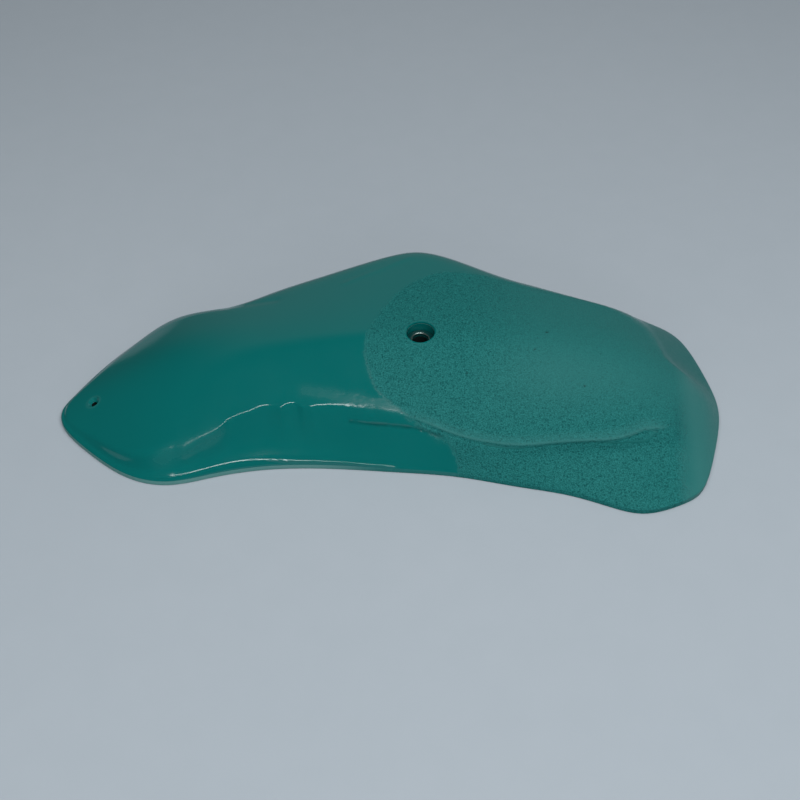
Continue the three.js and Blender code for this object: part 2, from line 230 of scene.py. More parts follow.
def roof(share):
    return np.sqrt(np.maximum(share, 0) ** 2 + ROOF_SHARE**2) - ROOF_SHARE


def top_height(x, y):
    row = spline(RELIEF_CONTROLS, (x / LENGTH - RELIEF_START_SHARE) / RELIEF_STEP_SHARE, False)
    across = y / DEPTH - row[..., 1]
    z = HEIGHT * (row[..., 0] - row[..., 2] * roof(-across) - row[..., 3] * roof(across))
    return np.maximum(z, EDGE_THICKNESS)


# Sections from the outline in to the spine

FRONT_ROWS = [feet[:2] + walls for feet, walls in zip(RIB_FEET_SHARES, RIB_FRONT_SHARES)]
BACK_ROWS = [feet[2:] + walls for feet, walls in zip(RIB_FEET_SHARES, RIB_BACK_SHARES)]
STATION_ROWS = [TIP_SHARES, *FRONT_ROWS, END_SHARES, *BACK_ROWS[::-1]]
STATIONS = len(STATION_ROWS)
STATION_CONTROLS = pull_controls(STATION_ROWS, True)
STATION_SCALE = np.array((LENGTH, DEPTH, DEPTH, DEPTH, HEIGHT, HEIGHT, HEIGHT))


class Sections:
    """The sections at the given places round the outline, in stations from the tip."""

    def __init__(self, places):
        rows = spline(STATION_CONTROLS, places, True) * STATION_SCALE
        along = ((1 - np.cos(2 * np.pi * places / STATIONS)) / 2)[:, None]
        spine = SPINE_START_SHARES * (1 - along) + SPINE_END_SHARES * along
        self.places = places
        self.foot = rows[:, :2]
        self.brow, self.waist, self.waist_height, self.softness, self.toe_rise = rows[:, 2:].T
        inward = spine * (LENGTH, DEPTH) - self.foot
        self.reach = np.linalg.norm(inward, axis=1)
        self.inward = inward / self.reach[:, None]

    def at(self, inset, z):
        flat = self.foot + self.inward * np.broadcast_to(inset, self.reach.shape)[:, None]
        return np.column_stack([flat, np.broadcast_to(z, self.reach.shape)])

    def height(self, inset):
        flat = self.at(inset, 0)
        return top_height(flat[:, 0], flat[:, 1])

    def on_top(self, inset):
        return self.at(inset, self.height(inset))

    def controls(self):
        brow = self.on_top(self.brow)
        waist = self.at(self.waist, np.minimum(self.waist_height, 0.6 * brow[:, 2] + TOE_LEAN))
        down = waist - brow
        drop = np.linalg.norm(down, axis=1)
        below = brow + down * (np.minimum(self.softness, 0.45 * drop) / drop)[:, None]
        rest = self.reach - self.brow
        above = self.on_top(self.brow + np.minimum(self.softness, 0.2 * rest))
        top = [self.on_top(self.brow + rest * share) for share in TOP_SHARES]
        toe = self.at(TOE_LEAN + TOE_SLOPE * self.toe_rise, LAND_HEIGHT + self.toe_rise)
        return np.array([self.at(0, LAND_HEIGHT), toe, waist, below, brow, above, *top])

    def rings(self, places):
        rings = spline(self.controls(), places, False)
        blend = smoothstep(BLEND_START, BLEND_START + BLEND_RINGS, places)[:, None]
        top = top_height(rings[:, :, 0], rings[:, :, 1])
        rings[:, :, 2] = rings[:, :, 2] * (1 - blend) + top * blend
        return rings


def even_places(step_at, measure, start, end):
    """Places from start to end, step_at(place) apart on a line that is measure(place) long per unit."""
    fine = np.linspace(start, end, 2001)
    per_unit = measure(fine) / step_at(fine)
    total = np.concatenate([[0], np.cumsum((per_unit[1:] + per_unit[:-1]) / 2 * np.diff(fine))])
    count = max(2, int(round(total[-1])))
    return np.interp(np.linspace(0, total[-1], count + 1), total, fine)


STATION_LENGTH = 37
TOP_PLACE = 9
COARSE_STEP, FINE_STEP, FOOT_STEP = 2.4, 0.84, 0.46


def sample_places():
    """Places round the outline, close together where the grip zone is, the same on both sides."""
    half = even_places(
        lambda s: COARSE_STEP + (FINE_STEP - COARSE_STEP) * smoothstep(5, 7, s),
        lambda s: np.full(s.shape, float(STATION_LENGTH)),
        0,
        STATIONS / 2,
    )
    return np.concatenate([half, STATIONS - half[-2:0:-1]])


def ring_places():
    """Places from the land to the spine, even on a middling section, closer at the foot."""
    sections = Sections(np.arange(8, 27, 1.0))
    fine = np.linspace(0, TOP_PLACE, 181)
    steps = np.linalg.norm(np.diff(sections.rings(fine), axis=0), axis=2).mean(1) / np.diff(fine)
    middle = (fine[1:] + fine[:-1]) / 2
    return even_places(
        lambda p: FOOT_STEP + (FINE_STEP - FOOT_STEP) * smoothstep(1.2, 2.2, p),
        lambda p: np.interp(p, middle, steps),
        0,
        TOP_PLACE,
    )


# Grids of points as closed meshes


def grid_normals(grid):
    around = np.roll(grid, -1, 1) - np.roll(grid, 1, 1)
    inward = np.gradient(grid, axis=0)
    normals = np.cross(around, inward)
    normals /= np.maximum(np.linalg.norm(normals, axis=2, keepdims=True), 1e-9)
    partners = -np.arange(grid.shape[1]) % grid.shape[1]
    normals[-1] = normals[-1] + normals[-1][partners]
    for end in (0, grid.shape[1] // 2):
        normals[-1][end] = normals[-1][end + 1]
    normals[-1] /= np.linalg.norm(normals[-1], axis=1, keepdims=True)
    return normals


def without_repeats(face):
    return [corner for k, corner in enumerate(face) if corner != face[k - 1]]


def closed_faces(ring_count, around):
    """Faces of a closed loft whose first and last rings are folded on the spine, and their places."""
    samples = np.arange(around)
    folded = np.minimum(samples, around - samples)
    start, ids = 0, []
    for ring in range(ring_count):
        fold = ring in (0, ring_count - 1)
        ids.append(start + (folded if fold else samples))
        start += around // 2 + 1 if fold else around
    faces, places = [], []
    for ring, (low, high) in enumerate(zip(ids, ids[1:])):
        quads = np.column_stack([low, np.roll(low, -1), np.roll(high, -1), high])
        faces.extend(without_repeats(quad) for quad in quads.tolist())
        places.extend((ring, sample) for sample in range(around))
    return faces, places


def new_object(name, points, faces, materials, slots):
    """An object of one mesh, from points in millimetres."""
    mesh = bpy.data.meshes.new(name)
    mesh.from_pydata((points * MM).tolist(), [], faces)
    for material in materials:
        mesh.materials.append(material)
    mesh.polygons.foreach_set("material_index", slots)
    thing = bpy.data.objects.new(name, mesh)
    bpy.context.scene.collection.objects.link(thing)
    return thing


def loft_object(name, rings, slot_of):
    """A closed solid of rings, each (around, 3), from under the spine, out, and over to the spine."""
    around = rings[0].shape[0]
    half = around // 2 + 1
    rings = [ring * FIT + SHIFT for ring in rings]
    points = np.concatenate([rings[0][:half], *rings[1:-1], rings[-1][:half]])
    faces, places = closed_faces(len(rings), around)
    return new_object(name, points, faces, HOLD_MATERIALS, [slot_of(*place) for place in places])


def combine(target, other, operation="DIFFERENCE"):
    """Applies one boolean step and drops the other object."""
    modifier = target.modifiers.new("combine", "BOOLEAN")
    modifier.solver = "MANIFOLD"
    modifier.operation = operation
    modifier.object = other
    bpy.context.view_layer.update()
    evaluated = target.evaluated_get(bpy.context.evaluated_depsgraph_get())
    mesh = bpy.data.meshes.new_from_object(evaluated)
    mesh.name = target.name
    target.modifiers.clear()
    target.data = mesh
    bpy.data.objects.remove(other)
    return target


# Noise


def hashed(cells, seed):
    """Three even random numbers for each whole-number cell."""
    a = (cells[..., 0] * 73856093) ^ (cells[..., 1] * 19349663) ^ (cells[..., 2] * 83492791)
    a = (a + seed * 2654435761) & 0xFFFFFFFF
    out = []
    for k in range(3):
        a = (a ^ (a >> 15)) * (2246822519 + 2 * k) & 0xFFFFFFFF
        a = (a ^ (a >> 13)) * 3266489917 & 0xFFFFFFFF
        a = a ^ (a >> 16)
        out.append(a / 0xFFFFFFFF)
    return np.stack(out, -1)


def value_noise(points, size, seed):
    """Smooth noise from -1 to 1 with lumps about the given size."""
    q = points / size
    cell = np.floor(q).astype(np.int64)
    f = q - cell
    f = f * f * (3 - 2 * f)
    total = 0
    for dx in (0, 1):
        for dy in (0, 1):
            for dz in (0, 1):
                corner = hashed(cell + (dx, dy, dz), seed)[..., 0]
                weight = (
                    (f[..., 0] if dx else 1 - f[..., 0])
                    * (f[..., 1] if dy else 1 - f[..., 1])
                    * (f[..., 2] if dz else 1 - f[..., 2])
                )
                total = total + weight * corner
    return 2 * total - 1


def layered_noise(points, layers):
    """The sum of layers of noise, each given by its strength, its size and its seed."""
    return sum(strength * value_noise(points, size, seed) for strength, size, seed in layers)


def nearest_seed(points, size, seed):
    """Distance to the nearest scattered seed, in cells, and a random number of that seed."""
    q = points / size
    cell = np.floor(q).astype(np.int64)
    best = np.full(points.shape[:-1], 9.0)
    luck = np.zeros(points.shape[:-1])
    for dx in (-1, 0, 1):
        for dy in (-1, 0, 1):
            for dz in (-1, 0, 1):
                other = cell + (dx, dy, dz)
                place = hashed(other, seed)
                distance = np.linalg.norm(other + place - q, axis=-1)
                closer = distance < best
                best = np.where(closer, distance, best)
                luck = np.where(closer, hashed(other, seed + 7)[..., 0], luck)
    return best, luck


# The grip zone in plan


def catmull(points, divisions):
    points = np.array(points, float)
    padded = np.concatenate([points[:1], points, points[-1:]])
    out = []
    for i in range(len(points) - 1):
        p0, p1, p2, p3 = padded[i : i + 4]
        v0, v1 = (p2 - p0) / 2, (p3 - p1) / 2
        for t in np.arange(divisions) / divisions:
            cubic = (2 * p1 - 2 * p2 + v0 + v1) * t**3 + (-3 * p1 + 3 * p2 - 2 * v0 - v1) * t**2
            out.append(cubic + v0 * t + p1)
    out.append(points[-1])
    return np.array(out)


GRIP_EDGE = catmull(np.array(GRIP_EDGE_SHARES) * (LENGTH, DEPTH), 6)
GRIP_FRONT = GRIP_FRONT_SHARE * DEPTH
GRIP_CORNERS = [(GRIP_EDGE[-1][0], GRIP_FRONT), (GRIP_EDGE[0][0], GRIP_FRONT)]
GRIP_OUTLINE = np.concatenate([GRIP_EDGE, GRIP_CORNERS])


def inside_grip(flat):
    """Distance in from the grip zone's edge in plan, negative outside it."""
    shape = flat.shape[:-1]
    flat = flat.reshape(-1, 2)
    starts, ends = GRIP_OUTLINE, np.roll(GRIP_OUTLINE, -1, 0)
    best = np.full(len(flat), 1e9)
    inside = np.zeros(len(flat), bool)
    for a, b in zip(starts, ends):
        along = b - a
        t = np.clip(((flat - a) @ along) / (along @ along), 0, 1)
        best = np.minimum(best, np.linalg.norm(flat - a - t[:, None] * along, axis=1))
        crosses = (a[1] > flat[:, 1]) != (b[1] > flat[:, 1])
        if a[1] != b[1]:
            x = a[0] + (flat[:, 1] - a[1]) * (b[0] - a[0]) / (b[1] - a[1])
            inside ^= crosses & (flat[:, 0] < x)
    return np.where(inside, best, -best).reshape(shape)


# Materials


GLOSS_COLOUR = (0.0008, 0.118, 0.112)
GLOSS_DEEP = (0.0006, 0.105, 0.101)
# Paler colour for painted highlights and sheen on the lip's edge, at the blunt end and round the set
# screw's rim
HIGHLIGHT_COLOUR = (0.034, 0.160, 0.154)
# Near-black colour for painted shade in the front crease and in the pinholes
PAINTED_SHADE_COLOUR = (0.0004, 0.016, 0.016)
# The grip's green, with its red share standing in for a painted sheen of the rough surface; the light
# flecks are painted glints, and the dark flecks and pits are painted shade
GRIP_COLOUR_AND_SHEEN = (0.009, 0.130, 0.124)
GRIP_GLINT_COLOUR = (0.024, 0.183, 0.175)
GRIP_PIT_SHADE_COLOUR = (0.0008, 0.050, 0.052)
# Pale sanded edge colours, on the land partly a painted reflection of the floor
EDGE_AND_REFLECTION_COLOURS = (0.060, 0.195, 0.187), (0.088, 0.225, 0.217)
# Near-black colours painted as the shade deep inside the bolt's bore and the set screw's hole
BORE_SHADE_COLOURS = (0.0005, 0.003, 0.003), (0.001, 0.008, 0.008)
STEEL_COLOURS = (0.16, 0.21, 0.20), (0.34, 0.40, 0.38)
# The film's dark colours are painted shade on the counterbore's floor
FILM_SHADE_COLOURS = (0.001, 0.022, 0.022), (0.003, 0.040, 0.039)
PAPER_COLOURS = (0.345, 0.395, 0.440), (0.365, 0.413, 0.455)
PAPER_FIBRE_COLOUR = (0.32, 0.37, 0.41)
GLOSS_ROUGHNESS = 0.06, 0.13
SCUFF_ROUGHNESS, GRIP_ROUGHNESS = 0.5, 0.68
GLOSS_SPECULAR, SCUFF_SPECULAR, PIT_SPECULAR = 0.5, 0.28, 0.08
# How strongly the flecks' painted glints and shade, and the pits' painted shade, show
FLECK_SHARE, PIT_SHADE_SHARE = 0.55, 0.6
# Lumps of noise to the metre, and how high the bumps are, in metres
CLOUD_SCALE, SMEAR_SCALE, RIPPLE_SCALE = 14, 55, 60
SCRATCH_SCALE, PIT_SCALE, GRIT_SCALE, SPECK_SCALE = 420, 560, 700, 1300
RIPPLE_HEIGHT, GRIT_HEIGHT, GRAIN_HEIGHT = 0.00012, 0.00015, 0.00022


class Nodes:
    """The nodes of a material or of the world. Inputs are constants or outputs of other nodes."""

    def __init__(self, tree):
        self.tree = tree

    def feed(self, value, socket):
        if isinstance(value, bpy.types.NodeSocket):
            self.tree.links.new(value, socket)
        else:
            socket.default_value = (*value, 1) if isinstance(value, tuple) else value

    def add(self, kind, inputs=None):
        node = self.tree.nodes.new(kind)
        for name, value in (inputs or {}).items():
            self.feed(value, node.inputs[name])
        return node

    def place(self):
        return self.add("ShaderNodeTexCoord").outputs["Object"]

    def attribute(self, name):
        node = self.add("ShaderNodeAttribute")
        node.attribute_name = name
        return node.outputs["Fac"]

    def noise(self, scale, detail, roughness=0.55):
        inputs = {"Vector": self.place(), "Scale": scale, "Detail": detail, "Roughness": roughness}
        return self.add("ShaderNodeTexNoise", inputs).outputs["Fac"]

    def math(self, operation, a, b):
        node = self.add("ShaderNodeMath")
        node.operation = operation
        self.feed(a, node.inputs[0])
        self.feed(b, node.inputs[1])
        return node.outputs["Value"]

    def product(self, *values):
        total = values[0]
        for value in values[1:]:
            total = self.math("MULTIPLY", total, value)
        return total

    def map_range(self, value, low, high, to_low, to_high, interpolation="LINEAR"):
        limits = {"From Min": low, "From Max": high, "To Min": to_low, "To Max": to_high}
        node = self.add("ShaderNodeMapRange", {"Value": value, **limits})
        node.interpolation_type = interpolation
        return node.outputs["Result"]

    def mix(self, kind, factor, a, b):
        node = self.add("ShaderNodeMix", {"Factor": factor})
        node.data_type = "RGBA" if kind == "RGBA" else "FLOAT"
        for name, value in (("A", a), ("B", b)):
            self.feed(value, [s for s in node.inputs if s.name == name and s.type == kind][0])
        return [s for s in node.outputs if s.type == kind][0]

    def mix_colour(self, factor, a, b):
        return self.mix("RGBA", factor, a, b)

    def mix_value(self, factor, a, b):
        return self.mix("VALUE", factor, a, b)

    def bump(self, height, distance, strength, **more):
        inputs = {"Height": height, "Distance": distance, "Strength": strength, **more}
        return self.add("ShaderNodeBump", inputs).outputs["Normal"]

    def pitting(self, scale, share, wide, narrow):
        """Small round pits in a share of the cells of a scattered pattern."""
        cells = self.add("ShaderNodeTexVoronoi", {"Vector": self.place(), "Scale": scale})
        split = self.add("ShaderNodeSeparateColor", {"Color": cells.outputs["Color"]})
        chosen = self.map_range(split.outputs["Red"], share - 0.15, share + 0.15, 1.0, 0.0)
        deep = self.map_range(cells.outputs["Distance"], wide, narrow, 0.0, 1.0)
        return self.product(chosen, deep)

    def surface(self, inputs):
        """Ends a material with its one shader."""
        shader = self.add("ShaderNodeBsdfPrincipled", inputs)
        self.add("ShaderNodeOutputMaterial", {"Surface": shader.outputs["BSDF"]})


def new_material(name):
    material = bpy.data.materials.new(name)
    material.use_nodes = True
    material.node_tree.nodes.clear()
    return material, Nodes(material.node_tree)


def hold_material(name):
    """Casting plastic: polished where the mask is 0, pitted and matt where it is 1."""
    material, nodes = new_material(name)
    mask, coarse = nodes.attribute("grip"), nodes.attribute("coarse")
    painted_shade, scuff = nodes.attribute("painted_shade"), nodes.attribute("scuff")
    smooth_colour = nodes.mix_colour(nodes.noise(CLOUD_SCALE, 2), GLOSS_DEEP, GLOSS_COLOUR)
    # Light flecks are painted glints; dark flecks and pits are painted shade in the grain's dips
    speck = nodes.noise(SPECK_SCALE, 1.0, 0.6)
    pits = nodes.product(nodes.pitting(PIT_SCALE, 0.7, 0.45, 0.15), coarse)
    fleck = nodes.map_range(speck, 0.64, 0.36, 0.0, 1.0)
    glints_and_shade = nodes.mix_colour(fleck, GRIP_GLINT_COLOUR, GRIP_PIT_SHADE_COLOUR)
    grain_colour_and_light = nodes.mix_colour(nodes.product(coarse, FLECK_SHARE), GRIP_COLOUR_AND_SHEEN, glints_and_shade)
    pit_shade = nodes.product(pits, PIT_SHADE_SHARE)
    grain_colour_and_light = nodes.mix_colour(pit_shade, grain_colour_and_light, GRIP_PIT_SHADE_COLOUR)
    colour = nodes.mix_colour(mask, smooth_colour, grain_colour_and_light)
    # Painted highlights and sheen on the lip's edge, the blunt end and round the set screw's rim
    colour = nodes.mix_colour(nodes.attribute("painted_highlight"), colour, HIGHLIGHT_COLOUR)
    gloss_rough = nodes.map_range(nodes.noise(SMEAR_SCALE, 4, 0.65), 0.3, 0.7, *GLOSS_ROUGHNESS)
    rough = nodes.mix_value(mask, gloss_rough, GRIP_ROUGHNESS)
    scratch = nodes.noise(SCRATCH_SCALE, 3, 0.7)
    scuffed = nodes.product(scuff, nodes.map_range(scratch, 0.35, 0.6, 0.8, 1.0))
    waves = nodes.bump(nodes.noise(RIPPLE_SCALE, 2), RIPPLE_HEIGHT, 0.5)
    sunk = nodes.math("SUBTRACT", speck, pits)
    grain_height = nodes.mix_value(mask, nodes.mix_value(scuff, 0.5, scratch), sunk)
    dull = nodes.mix_value(coarse, GLOSS_SPECULAR, PIT_SPECULAR)
    shine = nodes.mix_value(mask, GLOSS_SPECULAR, dull)
    nodes.surface({
        # Painted shade in the crease and the pinholes darkens the colour
        "Base Color": nodes.mix_colour(painted_shade, colour, PAINTED_SHADE_COLOUR),
        "Roughness": nodes.mix_value(scuffed, rough, SCUFF_ROUGHNESS),
        "Normal": nodes.bump(grain_height, GRAIN_HEIGHT, 1.0, Normal=waves),
        "Specular IOR Level": nodes.mix_value(scuff, shine, SCUFF_SPECULAR),
    })
    return material


def land_material(name):
    """The edge and back of the casting, trimmed and sanded flat. On the land its pale colour is partly
    a painted reflection of the floor.
    """
    material, nodes = new_material(name)
    colour = nodes.mix_colour(nodes.noise(40, 4), *EDGE_AND_REFLECTION_COLOURS)
    grit = nodes.noise(GRIT_SCALE, 3)
    nodes.surface({
        "Base Color": nodes.mix_colour(nodes.attribute("pale_edge"), GLOSS_COLOUR, colour),
        "Roughness": nodes.map_range(grit, 0.3, 0.7, 0.5, 0.7),
        "Normal": nodes.bump(grit, GRIT_HEIGHT, 0.6),
    })
    return material


def bore_material(name):
    """The wall of the bore and of the set screw's hole, painted near black as the shade deep inside
    them.
    """
    material, nodes = new_material(name)
    cloud = nodes.noise(250, 3)
    nodes.surface({
        "Base Color": nodes.mix_colour(cloud, *BORE_SHADE_COLOURS),
        "Roughness": nodes.map_range(cloud, 0.3, 0.7, 0.5, 0.8),
    })
    return material


def steel_material(name):
    """Zinc-plated steel under a film of casting plastic, rubbed bare at the edge of the bore. The
    film's dark colour is painted shade on the counterbore's floor.
    """
    material, nodes = new_material(name)
    cloud, bare = nodes.noise(300, 4), nodes.attribute("bare")
    steel = nodes.mix_colour(cloud, *STEEL_COLOURS)
    # Painted shade on the counterbore's floor
    film = nodes.mix_colour(cloud, *FILM_SHADE_COLOURS)
    nodes.surface({
        "Base Color": nodes.mix_colour(bare, film, steel),
        "Roughness": nodes.map_range(cloud, 0.3, 0.7, 0.25, 0.45),
        "Metallic": bare,
    })
    return material


def floor_material(name):
    """Pale paper."""
    material, nodes = new_material(name)
    base = nodes.mix_colour(nodes.noise(3, 3), *PAPER_COLOURS)
    fibres = nodes.map_range(nodes.noise(40, 4), 0.35, 0.65, 0.0, 0.15)
    nodes.surface({
        "Base Color": nodes.mix_colour(fibres, base, PAPER_FIBRE_COLOUR),
        "Roughness": 0.75,
        "Specular IOR Level": 0.25,
    })
    return material


hold_finish = hold_material("casting_plastic")
edge_finish = land_material("sanded_edge_and_reflection")
steel_finish = steel_material("zinc_steel")
bore_finish = bore_material("bore_wall")
HOLD_MATERIALS = [hold_finish, edge_finish, bore_finish]
SLOT_SKIN, SLOT_EDGE, SLOT_BORE = 0, 1, 2


# The hold's outside, with its dents, its grain and the marks in it

washer_low, washer_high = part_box("bolt_washer")
washer_middle = (washer_low + washer_high) / 2 / MM
bolt_x, bolt_y = BOLT_SHARES[0] * LENGTH, BOLT_SHARES[1] * DEPTH
SHIFT = np.array((washer_middle.x - bolt_x, washer_middle.y - bolt_y, 0.0))
# The finer mesh bulges a little further between its stations than the solids do
FIT = np.array((0.9990, 0.9985, 0.9985))
# Heights between which marks and grain grow
FOOT_FADE = (LAND_HEIGHT - 0.2, LAND_HEIGHT + 1.5)
# How far outside the grip zone its grain is still worked out
GRIP_REACH = 10
# Distances in from its edge between which the grain grows, and what is added at the blunt end
EDGE_FADE, END_FADE, END_SPAN = (-1.6, 2.4), (-4, 9), (150, 185)
EDGE_NOISE, LUMP_NOISE = ((0.9, 4, 3), (0.6, 1.7, 4)), ((0.02, 3.2, 13),)
PIT_SIZE, PIT_SEED, PIT_DEPTH = 2.3, 11, 0.05
PIT_SLOPE, PIT_LUCK = (0.62, 0.15), (0.15, 0.8)
# Where the grain turns finer, in x and in y, and by how much
FINER_X, FINER_Y, FINER_SHARE = (40, 120), (-75, -30), 0.6


def grain(points, inside):
    """How far the surface lies under its smooth form, the grip mask, and how coarse the pits are."""
    x, y = points[..., 0], points[..., 1]
    at_end = smoothstep(*END_SPAN, x)
    low, high = (edge + more * at_end for edge, more in zip(EDGE_FADE, END_FADE))
    mask = smoothstep(low, high, inside + layered_noise(points, EDGE_NOISE) * (1 + at_end))
    near, luck = nearest_seed(points, PIT_SIZE, PIT_SEED)
    pit = smoothstep(*PIT_SLOPE, near) * smoothstep(*PIT_LUCK, luck)
    coarse = 1 - FINER_SHARE * smoothstep(*FINER_X, x) * smoothstep(*FINER_Y, y)
    depth = mask * (PIT_DEPTH * pit * coarse + layered_noise(points, LUMP_NOISE))
    return depth, mask, coarse


# Inward moves of the front crest and of the lip: place along the hold, move
CREST_MOVES = np.array([
    (-142, 0), (-135, -3), (-124, -2), (-116, -2), (-111, -1), (-106, 1.8), (-100, 1.7), (-91, 1.2),
    (-85, 2), (-78, 2.2), (-72, 0.5), (-68, -0.8), (-64, 1.5), (-60, 2.6), (-56, 2.2), (-52, 0.2),
    (-46, 0.4), (-40, 1.8), (-30, 2.2), (-22, 2), (-8, 0), (10, 0), (27, 2), (46, 2.2), (73, 3.5),
    (106, 1.5), (139, 1), (165, 2.5), (185, 4), (205, 0),
]).T
# The crease low on the front: points of a line
FRONT_CREASE = [
    (-25.7, -60.6, 28.5), (-15.9, -61.6, 27.7), (-6.1, -62.4, 27.6), (3.7, -63.5, 27.8),
    (13.5, -65.1, 27.6), (20, -66.5, 27.2), (27.2, -68.6, 25.7), (33, -70.3, 24.6),
]
# How wide and deep the crease is, and how strong the painted shade in it is
CREASE_WIDTH, CREASE_DEPTH, CREASE_SHADE = 1.2, 0.5, 0.4
# Other folds: points of a line, width, outward move
FOLDS = [
    ([(-117, 44.4, 35.4), (-98.6, 41.6, 41.5), (-80.5, 41.6, 45.2)], 3.2, -0.35),
    ([(-32, 52.7, 51.4), (-8, 66, 52), (14.4, 80.3, 52.5)], 2.6, 0.25),
    ([(198.2, -18.5, 32.3), (211.9, -18.1, 19.5), (219, -17.6, 10)], 2.2, 0.3),
]
# Dents and bumps: place in plan, width, outward move
DENTS = [
    ((-74.9, -50.7), 2.4, -0.18), ((-67.9, -52.6), 3.0, 0.3), ((-59.1, -50.2), 4.0, -0.42),
    ((-127.1, -74.7), 3.0, -0.2), ((43.9, 43.5), 2.2, -0.25),
]
PINHOLES = [((105.4, -4.3), 0.75), ((96.3, -20), 0.55), ((51, -36.1), 0.5), ((127.8, -45), 0.5)]
# How deep the pinholes are, and how strong the painted shade in them is
PINHOLE_DEPTH, PINHOLE_SHADE = 0.5, 1.4
# Rubbed patches: points of a line, width, strength
SCUFFS = [
    (
        [
            (-55.3, -43.5, 40.5), (-38.8, -46.5, 40.2), (-22.4, -50.6, 39.7),
            (-12, -53, 39), (3.7, -55, 38),
        ],
        4.2,
        1,
    ),
    ([(-150, -82, 15), (-138, -78, 19), (-124, -72, 23), (-112, -68, 26)], 6, 0.8),
]
SCUFF_SHARE = 0.9
# The bead above the foot: span in x, place up the section and how far it sinks, and heights
BEAD_SPAN, BEAD_WIDTH = (-168, -150, 0, 8), 0.5
BEAD_PLACE, BEAD_SINK, BEAD_SINK_SPAN = 0.95, 0.45, (-105, -55)
BEAD_HEIGHT, BEAD_RISES = 0.17, ((0.3, -100, -70), (0.15, -50, -30))
# The front crest: span in x, places up the section, and where it turns rough
CREST_SPAN, CREST_PLACES, CREST_ROUGH_SPAN = (-160, -130, 0, 30), (2.4, 3.6, 5.5, 7), (-30, -15)
# The lip's edge: span in x, place up the section, and the groove that lies under it
LIP_SPAN, LIP_PLACE, LIP_WIDTH, LIP_HEIGHT = (8, 40, 192, 206), 3.8, 1.4, 0.25
GROOVE_DROP, GROOVE_WIDTH, GROOVE_DEPTH = 2.6, 1.5, 0.45
# Painted highlight on the lip's edge, fainter painted sheen past the edge, and over which span
LIP_HIGHLIGHT, LIP_SHEEN, LIP_SHEEN_SPAN = 0.75, 0.3, (-0.5, 1.5, 2, 9)
# The blunt end: where it is scuffed, and how strong its painted sheen is and where, in x and in y
END_SCUFF_SPAN, END_SHEEN, END_SHEEN_X, END_SHEEN_Y = (165, 190), 0.7, (188, 204), (0, -30)
# A ring of painted highlight round the set screw's rim: radius, width and strength
SCREW_RING_RADIUS, SCREW_RING_WIDTH, SCREW_RING_HIGHLIGHT = 4.8, 0.7, 0.3
# Layers of noise in the marks
BEAD_NOISE, CREST_NOISE = ((0.6, 2.6, 21), (0.3, 9, 22)), ((0.25, 12, 31), (0.1, 5, 32))
CREST_ROUGH_NOISE, SWELL_NOISE = ((0.12, 1.8, 34),), ((0.03, 17, 33),)
CREASE_NOISE, SCUFF_NOISE = ((0.5, 3, 41),), ((0.3, 3.5, 42),)
# The edge is trimmed and painted pale, partly as a painted reflection of the floor, but on the front
# that ends between these places
PALE_EDGE_START, PALE_EDGE_END, PLAIN_BACK = -50, 2, -20


def bell(distance, width):
    return np.exp(-((distance / width) ** 2))


def stroke(points, line, width):
    """1 on a line of points in space, fading to 0 over the width."""
    line = np.array(line, float)
    best = np.full(points.shape[:-1], 1e9)
    for a, b in zip(line, line[1:]):
        along = b - a
        t = np.clip(((points - a) @ along) / (along @ along), 0, 1)
        best = np.minimum(best, np.linalg.norm(points - a - t[..., None] * along, axis=-1))
    return bell(best, width)


def spot(points, flat, width):
    """1 at a place in plan, fading to 0 over the width."""
    return bell(np.linalg.norm(points[..., :2] - flat, axis=-1), width)


def bead_moves(foot, length, places):
    """Outward moves of the thin bead along the smooth part of the front."""
    x, y = foot[:, 0], foot[:, 1]
    at = BEAD_PLACE - BEAD_SINK * smoothstep(*BEAD_SINK_SPAN, x)
    middle = np.array([np.interp(place, places, up) for place, up in zip(at, length.T)])
    height = BEAD_HEIGHT + sum(rise * smoothstep(*span, x) for rise, *span in BEAD_RISES)
    strength = within(BEAD_SPAN, x) * (y < 0) * (1 + layered_noise(foot, BEAD_NOISE))
    return strength * height * bell(length - middle, BEAD_WIDTH)


def crest_moves(rings, places):
    """Outward moves of the wavy crest of the front, which is rougher next to the grip zone."""
    x, y = rings[0][:, 0], rings[0][:, 1]
    crest = within(CREST_PLACES, places)[:, None] * (y < 0) * within(CREST_SPAN, x)
    rough = smoothstep(*CREST_ROUGH_SPAN, x) * layered_noise(rings, CREST_ROUGH_NOISE)
    return crest * (layered_noise(rings, CREST_NOISE) + rough)


def lip_moves(foot, length, places):
    """Outward moves of the lip's edge over its groove, and the painted highlight along the edge and
    sheen past it.
    """
    x, y = foot[:, 0], foot[:, 1]
    past = length - np.array([np.interp(LIP_PLACE, places, up) for up in length.T])
    along = within(LIP_SPAN, x) * (y < 0)
    groove = GROOVE_DEPTH * bell(past + GROOVE_DROP, GROOVE_WIDTH)
    # Painted highlight on the edge, and a fainter painted sheen past it
    painted_highlight = LIP_HIGHLIGHT * bell(past, 1) + LIP_SHEEN * within(LIP_SHEEN_SPAN, past)
    return along * (LIP_HEIGHT * bell(past, LIP_WIDTH) - groove), along * painted_highlight


